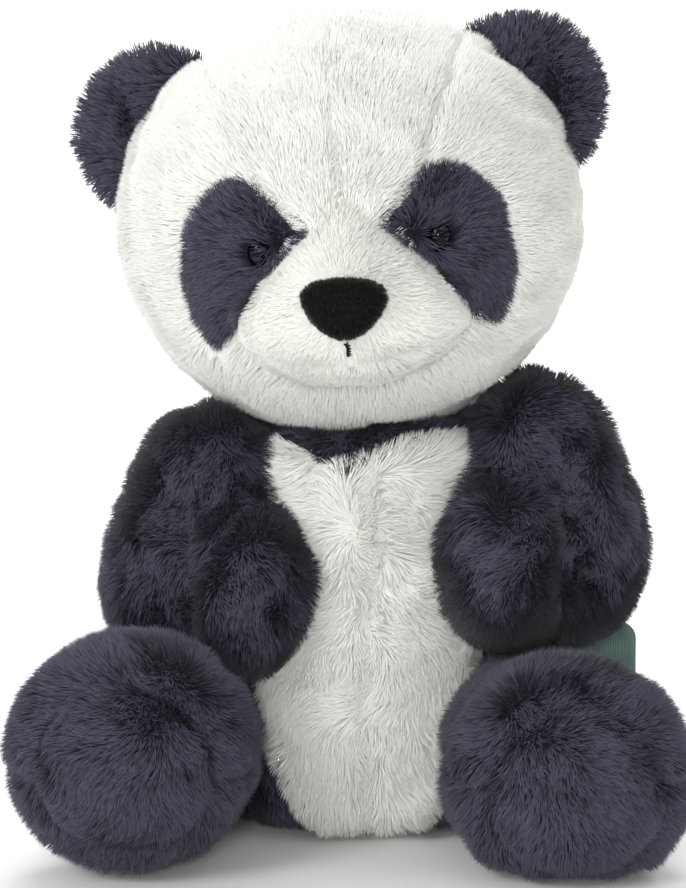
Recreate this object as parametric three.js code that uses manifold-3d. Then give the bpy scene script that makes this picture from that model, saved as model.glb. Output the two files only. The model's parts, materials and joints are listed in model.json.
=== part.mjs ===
// A sitting plush panda: sewn fabric panels round soft fillings, safety eyes, a padded nose
// and a woven side label. Millimetres, +Z up, facing -Y, its left paw side towards -X.
import * as THREE from 'three';
import { mergeVertices } from 'three/addons/utils/BufferGeometryUtils.js';
import Module from 'manifold-3d';

const wasm = await Module();
wasm.setup();

// ---- Driving dimensions ----------------------------------------------------------------
const CLOTH = 3;                 // plush fabric, backing and dense pile together
const GAP = 0.3;                 // space left at every sewn seam and between fillings
const HALF_GAP = GAP / 2;
const FAR = 400;                 // larger than the whole toy, for cutting blocks
const FILLING_INSET = CLOTH + 1.4;   // a filling is drawn with fewer facets, so it sits further in
const FINE = [24, 14];           // facets round and along the larger rounded solids
const PLAIN = [14, 8];
const COARSE = [12, 7];

const HEAD_RADII = [64.9, 55, 57];
const HEAD_CENTRE = [2, -4, 170];
const HEAD_ROLL = -5.7;          // degrees about Y: the +X side of the face sits higher
const HEAD_YAW = -2.2;           // degrees about Z: the face looks a little towards -X

const MUZZLE_LOBES = [            // the wide snout, its rise, and the bridge between the eyes
  { centre: [0, -40, -20], radii: [35, 32, 23], tilt: 0 },
  { centre: [0, -41, -13], radii: [24, 25, 18], tilt: 0 },
  { centre: [0, -42, -4], radii: [13, 19, 18], tilt: -20 },
];
const CHIN_SEAM_Z = -31;
const EYE = { x: 24.1, z: -2.2, width: 6.6, height: 8.6, depth: 5 };
const EYE_POST = { radius: 1.6, length: 13 };
const WASHER = { radius: 6, thickness: 1.4 };

const EAR = { x: 50, z: 29.6, radius: 21, thickness: 13, y: 5, cup: 5 };
const EAR_FLEX = 20;             // degrees each way

const TORSO_CENTRE_X = 4;        // at the seat
const TORSO_LEAN = 0.03;         // sideways shift per unit of height
const TORSO_DEPTH = 0.86;        // front-to-back size as a share of the side-to-side size
const TORSO_BACK = 2;            // the pear's axis stands behind the origin by this
const TORSO_PROFILE = [          // half width and height, from the seat's rim to the neck
  [44, 0], [52, 9], [54.5, 30], [50.5, 56], [44, 82], [38, 98], [22, 111],
];
const TORSO_TOP = 113;
const NECK_RADIUS = 17;
const BIB = [                    // outline from the torso's centre line, with a scalloped top
  [-12, -2], [-24, 13], [-30, 36], [-31, 72], [-30, 103], [-18, 108], [-7, 103], [10, 108],
  [28, 107], [32, 72], [30, 36], [22, 12], [10, -2],
];
const BIB_MIDDLE_Z = 52;
const BIB_FRONT_Y = -80;
const BIB_BACK_Y = -8;
const YOKE_Z = 98;
const BACK_SEAM_Y = 10;
const BAG = { centre: [3, 14, 16], radii: [17, 22, 10] };   // the pellet bag in the seat

const LABEL = { width: 26, reach: 23, corner: 5, thickness: 1, place: [61.5, 14, 26] };

const TORSO_SIDE_X = 34;         // the torso is flattened here, at each side of its axis
const ARM_FLAT_Z = 44;           // and above this height
const ARM_FRONT_Y = -24;         // the arm lies against that flat behind this
const SHOULDER_LEFT = [-31, 2, 98];
const SHOULDER_RIGHT = [49, 2, 106];
const ARM_SWEEP = 28;            // degrees up from the resting pose, until the paw meets the cheek
const HIP_LEFT = [-42, -16, 31];
const HIP_RIGHT = [46, -16, 29];
const HIP_RADIUS = 26.5;
const HIP_REACH = 21;            // half width of the round hip end of a leg
const HIP_CLEARANCE = 0.8;
const LEG_DOWN = 20;
const LEG_UP = 4;
const NECK_PIVOT = [5, 2, 112];
const NECK_TURN = 15;
const NOD_UP = 10;
const NOD_DOWN = 2;

const COLOUR = { white: 0xe4e6df, navy: 0x363642, filling: 0xf2f1ea, black: 0x14141a, label: 0x5f7f7c };

// ---- Solids ----------------------------------------------------------------------------
function solidFrom(geometry) {
  const bare = geometry.index ? geometry : mergeVertices(geometry);
  bare.deleteAttribute('normal');
  bare.deleteAttribute('uv');
  const merged = mergeVertices(bare, 1e-4);
  const mesh = new wasm.Mesh({
    numProp: 3,
    vertProperties: new Float32Array(merged.attributes.position.array),
    triVerts: new Uint32Array(merged.index.array),
  });
  return new wasm.Manifold(mesh);
}

function geometryFrom(solid) {
  const mesh = solid.getMesh();
  const geometry = new THREE.BufferGeometry();
  geometry.setAttribute('position', new THREE.BufferAttribute(mesh.vertProperties, 3));
  geometry.setIndex(new THREE.BufferAttribute(mesh.triVerts, 1));
  geometry.computeVertexNormals();
  return geometry;
}

const degrees = THREE.MathUtils.degToRad;

// An ellipsoid grown or shrunk by `offset`, tilted by `turn` degrees about X, Y and Z.
function ellipsoid(centre, radii, offset = 0, turn = [0, 0, 0], segments = PLAIN) {
  const geometry = new THREE.SphereGeometry(1, segments[0], segments[1]);
  geometry.rotateX(Math.PI / 2);
  geometry.scale(...radii.map((radius) => radius + offset));
  const spin = new THREE.Euler(...turn.map(degrees));
  geometry.applyMatrix4(new THREE.Matrix4().makeRotationFromEuler(spin));
  geometry.translate(...centre);
  return solidFrom(geometry);
}

function block(low, high) {
  const size = high.map((value, axis) => value - low[axis]);
  const geometry = new THREE.BoxGeometry(...size);
  geometry.translate(...low.map((value, axis) => value + size[axis] / 2));
  return solidFrom(geometry);
}

// Everything on one side of a plane through `point`, on the side that `normal` points away from.
function behindPlane(point, normal) {
  const geometry = new THREE.BoxGeometry(FAR, FAR, FAR);
  geometry.translate(0, 0, -FAR / 2);
  const facing = new THREE.Quaternion().setFromUnitVectors(
    new THREE.Vector3(0, 0, 1), new THREE.Vector3(...normal).normalize());
  geometry.applyQuaternion(facing);
  geometry.translate(...point);
  return solidFrom(geometry);
}

// A closed outline in the XZ plane, pushed along Y from `front` to `back`.
function prism(points, front, back, divisions = 24) {
  const curve = new THREE.CatmullRomCurve3(
    points.map(([x, z]) => new THREE.Vector3(x, z, 0)), true, 'centripetal');
  const outline = curve.getSpacedPoints(divisions).slice(0, divisions);
  const shape = new THREE.Shape(outline.map((point) => new THREE.Vector2(point.x, point.y)));
  const geometry = new THREE.ExtrudeGeometry(shape, { depth: back - front, bevelEnabled: false });
  geometry.rotateX(Math.PI / 2);
  geometry.translate(0, back, 0);
  return solidFrom(geometry);
}

function turned(solid, pivot, axis, angle) {
  const matrix = new THREE.Matrix4().makeTranslation(...pivot)
    .multiply(new THREE.Matrix4().makeRotationAxis(new THREE.Vector3(...axis), degrees(angle)))
    .multiply(new THREE.Matrix4().makeTranslation(...pivot.map((value) => -value)));
  return solid.transform(matrix.elements);
}

// A solid less all the places where `obstacle` comes as this piece turns about its joint.
function clearOf(solid, obstacle, pivot, axis, angles) {
  return angles.reduce(
    (rest, angle) => rest.subtract(turned(obstacle, pivot, axis, -angle)), solid);
}

// The biggest of a solid's separate bodies, without the chips a cut may leave.
function biggest(solid) {
  return solid.decompose().reduce((best, body) => (body.volume() > best.volume() ? body : best));
}

const mirrorX = (points) => points.map(([x, z]) => [-x, z]);

// ---- The scene graph -------------------------------------------------------------------
const panda = new THREE.Group();
const head = new THREE.Group();
head.position.set(...HEAD_CENTRE);
head.rotation.set(0, degrees(HEAD_ROLL), degrees(HEAD_YAW), 'YZX');
panda.add(head);
head.updateMatrixWorld(true);

function add(parent, name, solid, colour, roughness = 0.95) {
  const material = new THREE.MeshStandardMaterial({ color: colour, roughness, metalness: 0 });
  const mesh = new THREE.Mesh(geometryFrom(solid), material);
  mesh.name = name;
  parent.add(mesh);
}

// ---- Torso -----------------------------------------------------------------------------
// A pear turned about Z, grown by `offset`, flattened where the arms lie and at the seat.
function pear(offset, rows, segments) {
  const rim = new THREE.SplineCurve(TORSO_PROFILE.map(([r, z]) => new THREE.Vector2(r, z)));
  const wall = rim.getPoints(rows).map((point) => {
    const slope = rim.getTangent(Math.min(1, Math.max(0, point.y / TORSO_TOP)));
    const outward = new THREE.Vector2(slope.y, -slope.x).normalize();
    return point.clone().addScaledVector(outward, offset * 0.98);
  });
  const bottom = -offset;
  const top = TORSO_TOP + offset;
  const inside = wall.filter((point) => point.y > bottom + 1 && point.y < top - 1);
  const seatRim = new THREE.Vector2(TORSO_PROFILE[0][0] + offset, bottom);
  const profile = [new THREE.Vector2(0, bottom), seatRim, ...inside, new THREE.Vector2(0, top)];
  const geometry = new THREE.LatheGeometry(profile, segments);
  geometry.rotateX(Math.PI / 2);
  geometry.scale(1, TORSO_DEPTH, 1);
  const lean = new THREE.Matrix4().makeShear(0, 0, 0, 0, TORSO_LEAN, 0);
  geometry.applyMatrix4(lean);
  geometry.translate(TORSO_CENTRE_X, TORSO_BACK, 0);
  return solidFrom(geometry);
}

const sideAxisX = (z) => TORSO_CENTRE_X + TORSO_LEAN * z;

// The block that flattens the torso beside an arm; `offset` moves the flat outwards.
function armFlat(side, offset) {
  const shoulder = side < 0 ? SHOULDER_LEFT : SHOULDER_RIGHT;
  const flat = sideAxisX(shoulder[2]) + side * (TORSO_SIDE_X + offset);
  const slope = 14;
  const shape = new THREE.Shape([
    [flat, FAR], [flat, ARM_FLAT_Z + slope], [flat + side * FAR, ARM_FLAT_Z + slope - FAR * 0.8],
    [flat + side * FAR, FAR],
  ].map(([x, z]) => new THREE.Vector2(x, z)));
  const geometry = new THREE.ExtrudeGeometry(shape, { depth: 2 * FAR, bevelEnabled: false });
  geometry.rotateX(Math.PI / 2);
  geometry.translate(0, FAR, 0);
  return solidFrom(geometry);
}

// The room at each side of the seat for the hip end of a leg: round above, open below.
function hipSocket(side, offset) {
  const hip = side < 0 ? HIP_LEFT : HIP_RIGHT;
  const radius = HIP_RADIUS + HIP_CLEARANCE + offset;
  const inner = hip[0] - side * (HIP_REACH + HIP_CLEARANCE + offset);
  const geometry = new THREE.CylinderGeometry(radius, radius, FAR, 22);
  geometry.rotateZ(Math.PI / 2);
  geometry.translate(inner + side * FAR / 2, hip[1], hip[2]);
  const below = block(
    [side < 0 ? -FAR : inner, hip[1] - radius, -FAR],
    [side < 0 ? inner : FAR, hip[1] + radius, hip[2]]);
  return solidFrom(geometry).add(below);
}

// The hip end of a leg, round about the hip's axis.
function hipEnd(side, offset) {
  const hip = side < 0 ? HIP_LEFT : HIP_RIGHT;
  const geometry = new THREE.SphereGeometry(1, 18, 6);
  geometry.rotateZ(Math.PI / 2);
  geometry.scale(HIP_REACH + offset, HIP_RADIUS + offset, HIP_RADIUS + offset);
  geometry.translate(...hip);
  return solidFrom(geometry);
}

function torsoSolid(offset, rows = 8, segments = 24) {
  return [-1, 1].reduce(
    (body, side) => body.subtract(armFlat(side, offset)).subtract(hipSocket(side, -offset)),
    pear(offset, rows, segments));
}

// A plainer torso, for cutting the limbs clear of it.
function torsoClearance(side, offset) {
  return pear(offset + GAP, 6, 18)
    .subtract(armFlat(side, offset))
    .subtract(hipSocket(side, HIP_CLEARANCE - offset));
}

// The bib's outline pushed back through the belly wall, each point moved out by `grown`.
function bibPrism(centre, grown) {
  const points = BIB.map(([x, z]) => {
    const share = 1 + grown / Math.hypot(x, z - BIB_MIDDLE_Z);
    return [centre + x * share, BIB_MIDDLE_Z + (z - BIB_MIDDLE_Z) * share];
  });
  return prism(points, BIB_FRONT_Y, BIB_BACK_Y + grown / 2, 36);
}

function buildTorso() {
  const cover = torsoSolid(0).subtract(torsoSolid(-CLOTH)).subtract(neckSolid(GAP * 2));
  const seat = behindPlane([0, 0, CLOTH + HALF_GAP], [0, 0, 1]);
  const aboveSeat = behindPlane([0, 0, CLOTH + HALF_GAP * 3], [0, 0, -1]);
  const walls = cover.intersect(aboveSeat);
  const centre = sideAxisX(60) + 1;
  const bib = bibPrism(centre, 0);
  const bibHole = bibPrism(centre, GAP * 2);
  const front = walls.intersect(bib);
  const navy = walls.subtract(bibHole);
  const high = behindPlane([0, 0, YOKE_Z + HALF_GAP], [0, 0, -1]);
  add(panda, 'shoulder_yoke', navy.intersect(high), COLOUR.navy);
  const low = navy.intersect(behindPlane([0, 0, YOKE_Z - HALF_GAP], [0, 0, 1]));
  const backLow = low.intersect(behindPlane([0, BACK_SEAM_Y + HALF_GAP, 0], [0, -1, 0]));
  const frontLow = low.intersect(behindPlane([0, BACK_SEAM_Y - HALF_GAP, 0], [0, 1, 0]));
  for (const [name, side] of [['left', -1], ['right', 1]]) {
    const half = behindPlane([centre + side * HALF_GAP, 0, 0], [-side, 0, 0]);
    add(panda, `belly_${name}`, front.intersect(half), COLOUR.white);
    add(panda, `side_${name}`, frontLow.intersect(half), COLOUR.navy);
    add(panda, `back_${name}`, backLow.intersect(half), COLOUR.navy);
  }
  add(panda, 'seat_panel', cover.intersect(seat), COLOUR.navy);
  const bag = ellipsoid(BAG.centre, BAG.radii);
  const bagSpace = ellipsoid(BAG.centre, BAG.radii, GAP);
  const [bagX, bagY] = BAG.centre;
  const bagDoor = block([bagX - 3, bagY - 3, 0], [bagX + 3, bagY + 3, 14]);
  const filling = torsoSolid(-FILLING_INSET - GAP * 2, 6, 18)
    .subtract(neckSolid(GAP * 2))
    .subtract(bagSpace)
    .subtract(bagDoor);
  add(panda, 'body_filling', filling, COLOUR.filling);
  add(panda, 'pellet_bag', bag, COLOUR.filling);
}

// The woven side label: a folded loop standing out of the side seam behind the arm.
function buildLabel() {
  const { width, reach, corner, thickness, place } = LABEL;
  const shape = new THREE.Shape();
  shape.moveTo(0, 0);
  shape.lineTo(reach - corner, 0);
  shape.absarc(reach - corner, corner, corner, -Math.PI / 2, 0, false);
  shape.lineTo(reach, width - corner);
  shape.absarc(reach - corner, width - corner, corner, 0, Math.PI / 2, false);
  shape.lineTo(0, width);
  const geometry = new THREE.ExtrudeGeometry(
    shape, { depth: thickness, bevelEnabled: false, curveSegments: 5 });
  geometry.rotateX(Math.PI / 2);
  geometry.translate(...place);
  add(panda, 'side_label', solidFrom(geometry), COLOUR.label, 0.8);
}

// ---- Head ------------------------------------------------------------------------------
function headSolid(offset) {
  return ellipsoid([0, 0, 0], HEAD_RADII, offset, [0, 0, 0], FINE);
}

// The space round the neck filling, brought from the toy's own frame into the head's tilted frame.
function neckSpace(offset) {
  return neckSolid(offset).transform(head.matrixWorld.clone().invert().elements);
}

function muzzleSolid(offset, segments = [18, 10]) {
  const lobes = MUZZLE_LOBES.map(({ centre, radii, tilt }, index) => ellipsoid(
    centre, radii, offset, [tilt, 0, 0], index === 0 ? segments : COARSE));
  return lobes.reduce((snout, lobe) => snout.add(lobe));
}

const PATCH = [
  [9.5, 2], [18, 10.5], [25, 16], [33, 14.5], [40, 7], [43.5, -7], [42, -18],
  [36.5, -26], [29, -24], [15, -10],
];
const PATCH_MIDDLE = [30, -5];
const EAR_SEAM = { point: [37, 0, 51], normal: [0.914, 0, -0.406] };
const BACK_OF_HEAD_Y = 9;

function buildHeadCover() {
  const cover = headSolid(0)
    .subtract(headSolid(-CLOTH))
    .subtract(muzzleSolid(GAP))
    .subtract(neckSpace(GAP * 2));
  const back = cover.intersect(behindPlane([0, BACK_OF_HEAD_Y + HALF_GAP, 0], [0, -1, 0]));
  const face = cover.intersect(behindPlane([0, BACK_OF_HEAD_Y - HALF_GAP, 0], [0, 1, 0]));
  const spread = ([x, z]) => [
    PATCH_MIDDLE[0] + (x - PATCH_MIDDLE[0]) * 1.018,
    PATCH_MIDDLE[1] + (z - PATCH_MIDDLE[1]) * 1.018,
  ];
  for (const [name, side] of [['left', -1], ['right', 1]]) {
    const half = behindPlane([side * HALF_GAP, 0, 0], [-side, 0, 0]);
    const place = side < 0 ? mirrorX : (points) => points;
    const eyeHole = eyePost(side, 0.3);
    const patch = prism(place(PATCH), -90, -12, 40);
    const patchHole = prism(place(PATCH.map(spread)), -90, -12, 40);
    const normal = [side * EAR_SEAM.normal[0], 0, EAR_SEAM.normal[2]];
    const away = normal.map((value) => -value);
    const seam = [side * EAR_SEAM.point[0], 0, EAR_SEAM.point[2]];
    const shifted = (amount) => seam.map((value, axis) => value + normal[axis] * amount);
    const plain = face.intersect(half).subtract(patchHole);
    add(head, `forehead_${name}`, plain.intersect(behindPlane(shifted(-HALF_GAP), normal)), COLOUR.white);
    add(head, `cheek_${name}`, plain.intersect(behindPlane(shifted(HALF_GAP), away)), COLOUR.white);
    add(head, `eye_patch_${name}`, face.intersect(patch).subtract(eyeHole), COLOUR.navy);
    add(head, `head_back_${name}`, back.intersect(half), COLOUR.white);
  }
}

// Where an eye sits: the point on the head's surface and the way the post points inwards.
function eyeSeat(side) {
  const x = side * EYE.x;
  const level = 1 - (x / HEAD_RADII[0]) ** 2 - (EYE.z / HEAD_RADII[2]) ** 2;
  const y = -HEAD_RADII[1] * Math.sqrt(level);
  const outward = new THREE.Vector3(
    x / HEAD_RADII[0] ** 2, y / HEAD_RADII[1] ** 2, EYE.z / HEAD_RADII[2] ** 2).normalize();
  return { point: new THREE.Vector3(x, y, EYE.z), outward };
}

// A piece drawn with its front along +Z, set on the eye's seat `lift` out from the surface.
function onEyeSeat(geometry, side, lift) {
  const seat = eyeSeat(side);
  geometry.applyQuaternion(new THREE.Quaternion().setFromUnitVectors(
    new THREE.Vector3(0, 0, 1), seat.outward));
  geometry.translate(...seat.point.clone().addScaledVector(seat.outward, lift));
  return solidFrom(geometry);
}

function eyePost(side, offset) {
  const radius = EYE_POST.radius + offset;
  const geometry = new THREE.CylinderGeometry(radius, radius, EYE_POST.length + 2 * offset, 8);
  geometry.rotateX(Math.PI / 2);
  return onEyeSeat(geometry, side, 1 - EYE_POST.length / 2);
}

function buildEyes() {
  for (const [name, side] of [['left', -1], ['right', 1]]) {
    const dome = new THREE.SphereGeometry(1, 16, 8);
    dome.scale(EYE.width / 2, EYE.height / 2, EYE.depth / 2);
    const front = onEyeSeat(dome, side, EYE.depth / 2 + GAP);
    add(head, `eye_${name}`, front.add(eyePost(side, 0)), COLOUR.black, 0.08);
    const washer = new THREE.CylinderGeometry(WASHER.radius, WASHER.radius, WASHER.thickness, 14);
    washer.rotateX(Math.PI / 2);
    const lock = onEyeSeat(washer, side, -CLOTH - GAP * 2 - WASHER.thickness / 2 - 0.6);
    add(head, `eye_washer_${name}`, lock.subtract(eyePost(side, 0.1)), COLOUR.filling, 0.5);
  }
}

function eyeHollow(side) {
  const geometry = new THREE.CylinderGeometry(WASHER.radius + 0.8, WASHER.radius + 0.8, 6, 10);
  geometry.rotateX(Math.PI / 2);
  return onEyeSeat(geometry, side, -CLOTH - 2.5).add(eyePost(side, 0.4));
}

function buildMuzzle() {
  const outside = muzzleSolid(0);
  const cover = outside.subtract(muzzleSolid(-CLOTH)).subtract(headSolid(-CLOTH));
  const upper = behindPlane([0, 0, CHIN_SEAM_Z + HALF_GAP], [0, 0, -1]);
  const lower = behindPlane([0, 0, CHIN_SEAM_Z - HALF_GAP], [0, 0, 1]);
  add(head, 'muzzle_top', cover.intersect(upper), COLOUR.white);
  add(head, 'muzzle_chin', cover.intersect(lower), COLOUR.white);
  add(head, 'muzzle_filling', muzzleSolid(-FILLING_INSET, COARSE), COLOUR.filling);
}

// The nose is a padded rounded triangle laid on the muzzle's upper front.
function buildNose() {
  const points = [
    [0, 6.2], [5.2, 5.5], [9.1, 3.6], [8.6, -0.6], [4.4, -5.1], [0, -6.6],
    [-4.4, -5.1], [-8.6, -0.6], [-9.1, 3.6], [-5.2, 5.5],
  ];
  const curve = new THREE.CatmullRomCurve3(
    points.map(([x, y]) => new THREE.Vector3(x, y, 0)), true, 'centripetal');
  const outline = curve.getSpacedPoints(24).slice(0, 24);
  const shape = new THREE.Shape(outline.map((point) => new THREE.Vector2(point.x, point.y)));
  const geometry = new THREE.ExtrudeGeometry(shape, {
    depth: 8, bevelThickness: 2.4, bevelSize: 1.6, bevelSegments: 3,
  });
  geometry.rotateX(Math.PI / 2);
  geometry.rotateX(degrees(-14));
  geometry.translate(0, -66.5, -16.2);
  const pad = solidFrom(geometry).subtract(muzzleSolid(GAP));
  add(head, 'nose', pad, COLOUR.black, 0.9);
}

// The mouth is one upright stitch of thick black thread under the nose.
function buildMouth() {
  const points = [];
  for (let step = 0; step <= 6; step += 1) {
    const z = -25.6 - step * 1.05;
    const across = 0.35 * Math.sin(step * 1.4);
    const { centre, radii } = MUZZLE_LOBES[0];
    const level = 1 - ((z - centre[2]) / radii[2]) ** 2;
    const y = centre[1] - radii[1] * Math.sqrt(level) - 0.75;
    points.push(new THREE.Vector3(across, y, z));
  }
  const path = new THREE.CatmullRomCurve3(points);
  const thread = new THREE.Shape();
  thread.absarc(0, 0, 0.45, 0, Math.PI * 2, false);
  const geometry = new THREE.ExtrudeGeometry(thread, { extrudePath: path, steps: 10, curveSegments: 4 });
  const stitch = solidFrom(geometry).subtract(muzzleSolid(0.05));
  add(head, 'mouth_stitch', stitch, COLOUR.black, 0.9);
}

function buildHeadFilling() {
  const hollows = eyeHollow(-1).add(eyeHollow(1)).add(muzzleSolid(-CLOTH)).add(neckSpace(GAP * 3));
  const ball = ellipsoid([0, 0, 0], HEAD_RADII, -FILLING_INSET, [0, 0, 0], [18, 11]);
  add(head, 'head_filling', ball.subtract(hollows), COLOUR.filling);
}

// ---- Ears ------------------------------------------------------------------------------
// A plainer head, for cutting the ears clear of it.
function headClearance(offset) {
  return ellipsoid([0, 0, 0], HEAD_RADII, offset + GAP * 4, [0, 0, 0], [16, 10]);
}

function earPlace(side) {
  const pivot = [side * EAR.x, EAR.y, EAR.z];
  const reach = Math.hypot(EAR.x, EAR.z);
  return { pivot, axis: [-side * EAR.z / reach, 0, EAR.x / reach] };
}

// A round cushion-like disc whose front is hollowed by a larger ball.
function earSolid(side, offset) {
  const { pivot } = earPlace(side);
  const tilt = side * THREE.MathUtils.radToDeg(Math.atan2(EAR.x, EAR.z));
  const radii = [EAR.radius, EAR.thickness / 2, EAR.radius];
  const disc = ellipsoid(pivot, radii, offset, [0, tilt, 0], [16, 6]);
  const ball = [pivot[0] * 1.13, pivot[1] - EAR.thickness / 2 - 22 + EAR.cup, pivot[2] * 1.13];
  return disc.subtract(ellipsoid(ball, [22, 22, 22], -offset, [0, 0, 0], [10, 6]));
}

function buildEars() {
  for (const [name, side] of [['left', -1], ['right', 1]]) {
    const { pivot, axis } = earPlace(side);
    const angles = [0, -EAR_FLEX, EAR_FLEX];
    const clear = (solid, wall) => clearOf(solid, headClearance(wall), pivot, axis, angles);
    const outside = clear(earSolid(side, 0), GAP * 2);
    const inside = clear(earSolid(side, -2), GAP * 2 + 2);
    const cover = outside.subtract(inside);
    const seam = EAR.y + 1.5;
    const front = behindPlane([0, seam - HALF_GAP, 0], [0, 1, 0]);
    const back = behindPlane([0, seam + HALF_GAP, 0], [0, -1, 0]);
    add(head, `ear_front_${name}`, cover.intersect(front), COLOUR.navy);
    add(head, `ear_back_${name}`, cover.intersect(back), COLOUR.navy);
  }
}

// ---- Neck ------------------------------------------------------------------------------
// A plug of filling, round about the neck's pivot, that the head turns and nods on.
function neckSolid(offset) {
  const radii = [NECK_RADIUS, NECK_RADIUS, NECK_RADIUS];
  return ellipsoid(NECK_PIVOT, radii, offset, [0, 0, 0], PLAIN);
}

function buildNeck() {
  add(panda, 'neck_filling', neckSolid(0), COLOUR.filling);
}

// ---- Arms ------------------------------------------------------------------------------
// An upper arm and a folded-in paw run together, drawn for the +X side from the shoulder.
const ARM_LOBES = [
  { centre: [7, -10, -13], radii: [25, 28, 36], turn: [6, -7, 0] },      // upper arm
  { centre: [12, -14, -30], radii: [22.5, 25, 21], turn: [0, 0, 0] },    // elbow
  { centre: [-5, -36, -27], radii: [19.5, 26, 24], turn: [12, 0, 6] },   // paw
];

function armSolid(side, offset, segments) {
  const shoulder = side < 0 ? SHOULDER_LEFT : SHOULDER_RIGHT;
  const lobes = ARM_LOBES.map(({ centre, radii, turn }) => {
    const [x, y, z] = centre;
    const middle = [shoulder[0] + side * x, shoulder[1] + y, shoulder[2] + z];
    return ellipsoid(middle, radii, offset, [turn[0], side * turn[1], side * turn[2]], segments);
  });
  return lobes.reduce((arm, lobe) => arm.add(lobe));
}

// The room the head takes as it turns and nods, for cutting the shoulders under it.
function headRoom(offset) {
  const resting = ellipsoid([0, 0, 0], HEAD_RADII, offset + GAP * 3, [0, 0, 0], [16, 10])
    .transform(head.matrixWorld.elements);
  const nodding = turned(resting, NECK_PIVOT, [-1, 0, 0], NOD_UP);
  return [-NECK_TURN, 0, NECK_TURN]
    .map((angle) => turned(nodding, NECK_PIVOT, [0, 0, 1], angle))
    .reduce((room, pose) => room.add(pose), resting);
}

// An arm less the room of the torso, which it lies against and swings up from, and of the
// thigh under it and the head above.
function seatedArm(side, offset, wall, segments = PLAIN) {
  const shoulder = side < 0 ? SHOULDER_LEFT : SHOULDER_RIGHT;
  const flat = sideAxisX(shoulder[2]) + side * (TORSO_SIDE_X + wall);
  const inner = block(
    [side < 0 ? flat : -FAR, ARM_FRONT_Y, ARM_FLAT_Z],
    [side < 0 ? FAR : flat, FAR, FAR]);
  const clear = (solid, room, angles) => clearOf(solid, room, shoulder, [-1, 0, 0], angles);
  const lifts = [0, ARM_SWEEP / 2, ARM_SWEEP];
  const free = clear(armSolid(side, offset, segments), legRoom(side, wall), lifts);
  const torso = torsoClearance(side, wall + GAP * 7);
  const besideTorso = clear(free.subtract(inner), torso, [0, ARM_SWEEP / 6, ARM_SWEEP / 3]);
  return clear(besideTorso, headRoom(wall), lifts);
}

function buildArms() {
  for (const [name, side] of [['left', -1], ['right', 1]]) {
    const shoulder = side < 0 ? SHOULDER_LEFT : SHOULDER_RIGHT;
    const cover = seatedArm(side, 0, GAP * 2).subtract(seatedArm(side, -CLOTH, CLOTH + GAP * 2));
    const seam = shoulder[0] + side * 9;
    const outerHalf = behindPlane([seam + side * HALF_GAP, 0, 0], [-side, 0, 0]);
    const innerHalf = behindPlane([seam - side * HALF_GAP, 0, 0], [side, 0, 0]);
    add(panda, `arm_outer_${name}`, cover.intersect(outerHalf), COLOUR.navy);
    add(panda, `arm_inner_${name}`, biggest(cover.intersect(innerHalf)), COLOUR.navy);
    const filling = seatedArm(side, -FILLING_INSET, CLOTH + GAP * 4, COARSE);
    add(panda, `arm_filling_${name}`, filling, COLOUR.filling);
  }
}

// ---- Legs ------------------------------------------------------------------------------
// A big round foot and a thigh run together, drawn for the +X side from the hip.
const LEG_LOBES = [
  { centre: [14, -57, 3], radii: [32.5, 29.5, 29.5] },
  { centre: [9, -33, 0], radii: [28, 42, 26] },
];
const FOOT_LIFT = { left: 2, right: -1.5 };
const SOLE_SEAM_Y = -74;         // from the hip

function legLobes(side, offset, segments) {
  const hip = side < 0 ? HIP_LEFT : HIP_RIGHT;
  const lift = side < 0 ? FOOT_LIFT.left : FOOT_LIFT.right;
  const [foot, thigh] = LEG_LOBES.map(({ centre, radii }, index) => {
    const rise = index === 0 ? lift : 0;
    const middle = [hip[0] + side * centre[0], hip[1] + centre[1], hip[2] + centre[2] + rise];
    return ellipsoid(middle, radii, offset, [0, 0, side * -6], segments);
  });
  return foot.add(thigh);
}

function legSolid(side, offset, segments) {
  const aboveFloor = behindPlane([0, 0, 0.4 - offset], [0, 0, -1]);
  return legLobes(side, offset, segments).add(hipEnd(side, offset)).intersect(aboveFloor);
}

// The room a leg takes from rest to its highest, for cutting the arm above it.
function legRoom(side, offset) {
  const hip = side < 0 ? HIP_LEFT : HIP_RIGHT;
  const resting = legLobes(side, offset + 2, COARSE);
  return resting.add(turned(resting, hip, [-1, 0, 0], LEG_UP)).add(hipEnd(side, offset + 2));
}

function seatedLeg(side, offset, wall, segments = [16, 8]) {
  const hip = side < 0 ? HIP_LEFT : HIP_RIGHT;
  const leg = legSolid(side, offset, segments);
  return clearOf(leg, torsoClearance(side, wall), hip, [-1, 0, 0], [0, LEG_UP]);
}

function buildLegs() {
  for (const [name, side] of [['left', -1], ['right', 1]]) {
    const hip = side < 0 ? HIP_LEFT : HIP_RIGHT;
    const cover = seatedLeg(side, 0, GAP * 2).subtract(seatedLeg(side, -CLOTH, CLOTH + GAP * 2));
    const sole = hip[1] + SOLE_SEAM_Y;
    const front = behindPlane([0, sole - HALF_GAP, 0], [0, 1, 0]);
    const behind = cover.intersect(behindPlane([0, sole + HALF_GAP, 0], [0, -1, 0]));
    const above = behindPlane([0, 0, hip[2] + HALF_GAP], [0, 0, -1]);
    const below = behindPlane([0, 0, hip[2] - HALF_GAP], [0, 0, 1]);
    add(panda, `sole_${name}`, cover.intersect(front), COLOUR.navy);
    add(panda, `leg_top_${name}`, behind.intersect(above), COLOUR.navy);
    add(panda, `leg_under_${name}`, behind.intersect(below), COLOUR.navy);
    const filling = seatedLeg(side, -FILLING_INSET, CLOTH + GAP * 4, COARSE);
    add(panda, `leg_filling_${name}`, filling, COLOUR.filling);
  }
}

buildTorso();
buildLabel();
buildNeck();
buildHeadCover();
buildEyes();
buildMuzzle();
buildNose();
buildMouth();
buildHeadFilling();
buildEars();
buildArms();
buildLegs();

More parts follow.
